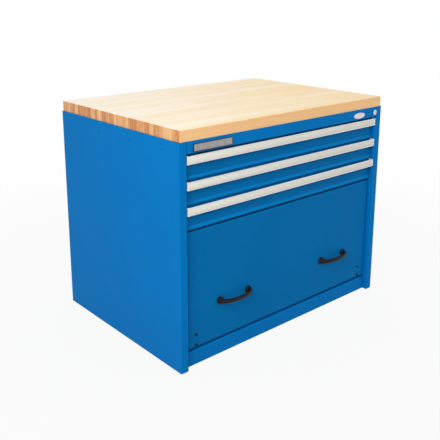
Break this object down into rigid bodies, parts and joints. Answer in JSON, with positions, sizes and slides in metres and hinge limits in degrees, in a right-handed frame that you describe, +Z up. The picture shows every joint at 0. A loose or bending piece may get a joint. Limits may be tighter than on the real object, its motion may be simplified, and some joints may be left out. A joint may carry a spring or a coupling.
{
  "type": "tool drawer cabinet",
  "caption": "Sheet-steel tool cabinet with shallow drawers, a deep roll-out tool drawer on full-extension roller slides, a key lock and a butcher-block top",
  "frame": {"origin": "on the floor, under the middle of the whole object's box", "axes": "+X to the right seen from the front, -Y out of the front, +Z up"},
  "size_m": [1.022, 0.746, 0.824],
  "materials": {
    "housing_blue": "semi-gloss powder coat",
    "front_blue": "semi-gloss powder coat",
    "inner_blue": "semi-gloss powder coat",
    "maple": "oiled butcher block",
    "anodised_strip": "satin anodised",
    "zinc_steel": "zinc plated",
    "roller_steel": "ground bearing steel",
    "black_plastic": "moulded, fine texture",
    "black_screws": "black oxide",
    "lock_chrome": "polished"
  },
  "bodies": {
    "cabinet": {"left_side_panel": "housing_blue", "left_front_upright": "inner_blue", "left_rear_upright": "inner_blue", "right_side_panel": "housing_blue", "right_front_upright": "inner_blue", "right_rear_upright": "inner_blue", "back_panel": "housing_blue", "top_cover": "housing_blue", "base_panel": "housing_blue", "header_rail": "housing_blue", "kick_rail": "housing_blue", "butcher_block_top": "maple", "top_screws": "zinc_steel", "side_screws": "housing_blue", "drawer_1_left_cabinet_rail": "zinc_steel", "drawer_1_right_cabinet_rail": "zinc_steel", "drawer_2_left_cabinet_rail": "zinc_steel", "drawer_2_right_cabinet_rail": "zinc_steel", "drawer_3_left_cabinet_rail": "zinc_steel", "drawer_3_right_cabinet_rail": "zinc_steel", "tool_drawer_left_cabinet_rail": "zinc_steel", "tool_drawer_right_cabinet_rail": "zinc_steel"},
    "carriage_1": {"drawer_1_left_carriage": "zinc_steel", "drawer_1_right_carriage": "zinc_steel", "drawer_1_rollers": "roller_steel"},
    "drawer_1": {"drawer_1_left_drawer_rail": "zinc_steel", "drawer_1_right_drawer_rail": "zinc_steel", "drawer_1_front": "front_blue", "drawer_1_handle": "anodised_strip", "drawer_1_box": "inner_blue"},
    "carriage_2": {"drawer_2_left_carriage": "zinc_steel", "drawer_2_right_carriage": "zinc_steel", "drawer_2_rollers": "roller_steel"},
    "drawer_2": {"drawer_2_left_drawer_rail": "zinc_steel", "drawer_2_right_drawer_rail": "zinc_steel", "drawer_2_front": "front_blue", "drawer_2_handle": "anodised_strip", "drawer_2_box": "inner_blue"},
    "carriage_3": {"drawer_3_left_carriage": "zinc_steel", "drawer_3_right_carriage": "zinc_steel", "drawer_3_rollers": "roller_steel"},
    "drawer_3": {"drawer_3_left_drawer_rail": "zinc_steel", "drawer_3_right_drawer_rail": "zinc_steel", "drawer_3_front": "front_blue", "drawer_3_handle": "anodised_strip", "drawer_3_box": "inner_blue"},
    "tool_carriage": {"tool_drawer_left_carriage": "zinc_steel", "tool_drawer_right_carriage": "zinc_steel", "tool_drawer_rollers": "roller_steel"},
    "tool_drawer": {"tool_drawer_left_drawer_rail": "zinc_steel", "tool_drawer_right_drawer_rail": "zinc_steel", "tool_drawer_front": "front_blue", "tool_drawer_tray": "inner_blue", "tool_drawer_left_pull": "black_plastic", "tool_drawer_right_pull": "black_plastic", "tool_drawer_front_screws": "black_screws", "tool_drawer_pull_screws": "zinc_steel"},
    "lock": {"lock_cylinder": "lock_chrome", "lock_cam": "zinc_steel"},
    "lock_bar": {"lock_bar": "zinc_steel"}
  },
  "joints": [
    {"name": "drawer_1_slide", "type": "slide", "parent": "cabinet", "child": "drawer_1", "axis": [0, -1, 0], "range_m": [0, 0.6]},
    {"name": "carriage_1_slide", "type": "slide", "parent": "cabinet", "child": "carriage_1", "axis": [0, -1, 0], "range_m": [0, 0.3]},
    {"name": "drawer_2_slide", "type": "slide", "parent": "cabinet", "child": "drawer_2", "axis": [0, -1, 0], "range_m": [0, 0.6]},
    {"name": "carriage_2_slide", "type": "slide", "parent": "cabinet", "child": "carriage_2", "axis": [0, -1, 0], "range_m": [0, 0.3]},
    {"name": "drawer_3_slide", "type": "slide", "parent": "cabinet", "child": "drawer_3", "axis": [0, -1, 0], "range_m": [0, 0.6]},
    {"name": "carriage_3_slide", "type": "slide", "parent": "cabinet", "child": "carriage_3", "axis": [0, -1, 0], "range_m": [0, 0.3]},
    {"name": "tool_drawer_slide", "type": "slide", "parent": "cabinet", "child": "tool_drawer", "axis": [0, -1, 0], "range_m": [0, 0.6]},
    {"name": "tool_carriage_slide", "type": "slide", "parent": "cabinet", "child": "tool_carriage", "axis": [0, -1, 0], "range_m": [0, 0.3]},
    {"name": "lock_bar_slide", "type": "slide", "parent": "cabinet", "child": "lock_bar", "axis": [0, 0, -1], "range_m": [0, 0.0127]},
    {"name": "lock_turn", "type": "hinge", "parent": "cabinet", "child": "lock", "pos_m": [0.468, -0.351, 0.764], "axis": [0, 1, 0], "range_deg": [0, 90]}
  ],
  "couplings": [
    {"joint": "carriage_1_slide", "follows": "drawer_1_slide", "ratio": 0.5},
    {"joint": "carriage_2_slide", "follows": "drawer_2_slide", "ratio": 0.5},
    {"joint": "carriage_3_slide", "follows": "drawer_3_slide", "ratio": 0.5},
    {"joint": "tool_carriage_slide", "follows": "tool_drawer_slide", "ratio": 0.5},
    {"joint": "lock_turn", "follows": "lock_bar_slide", "rad_per_m": 123}
  ]
}
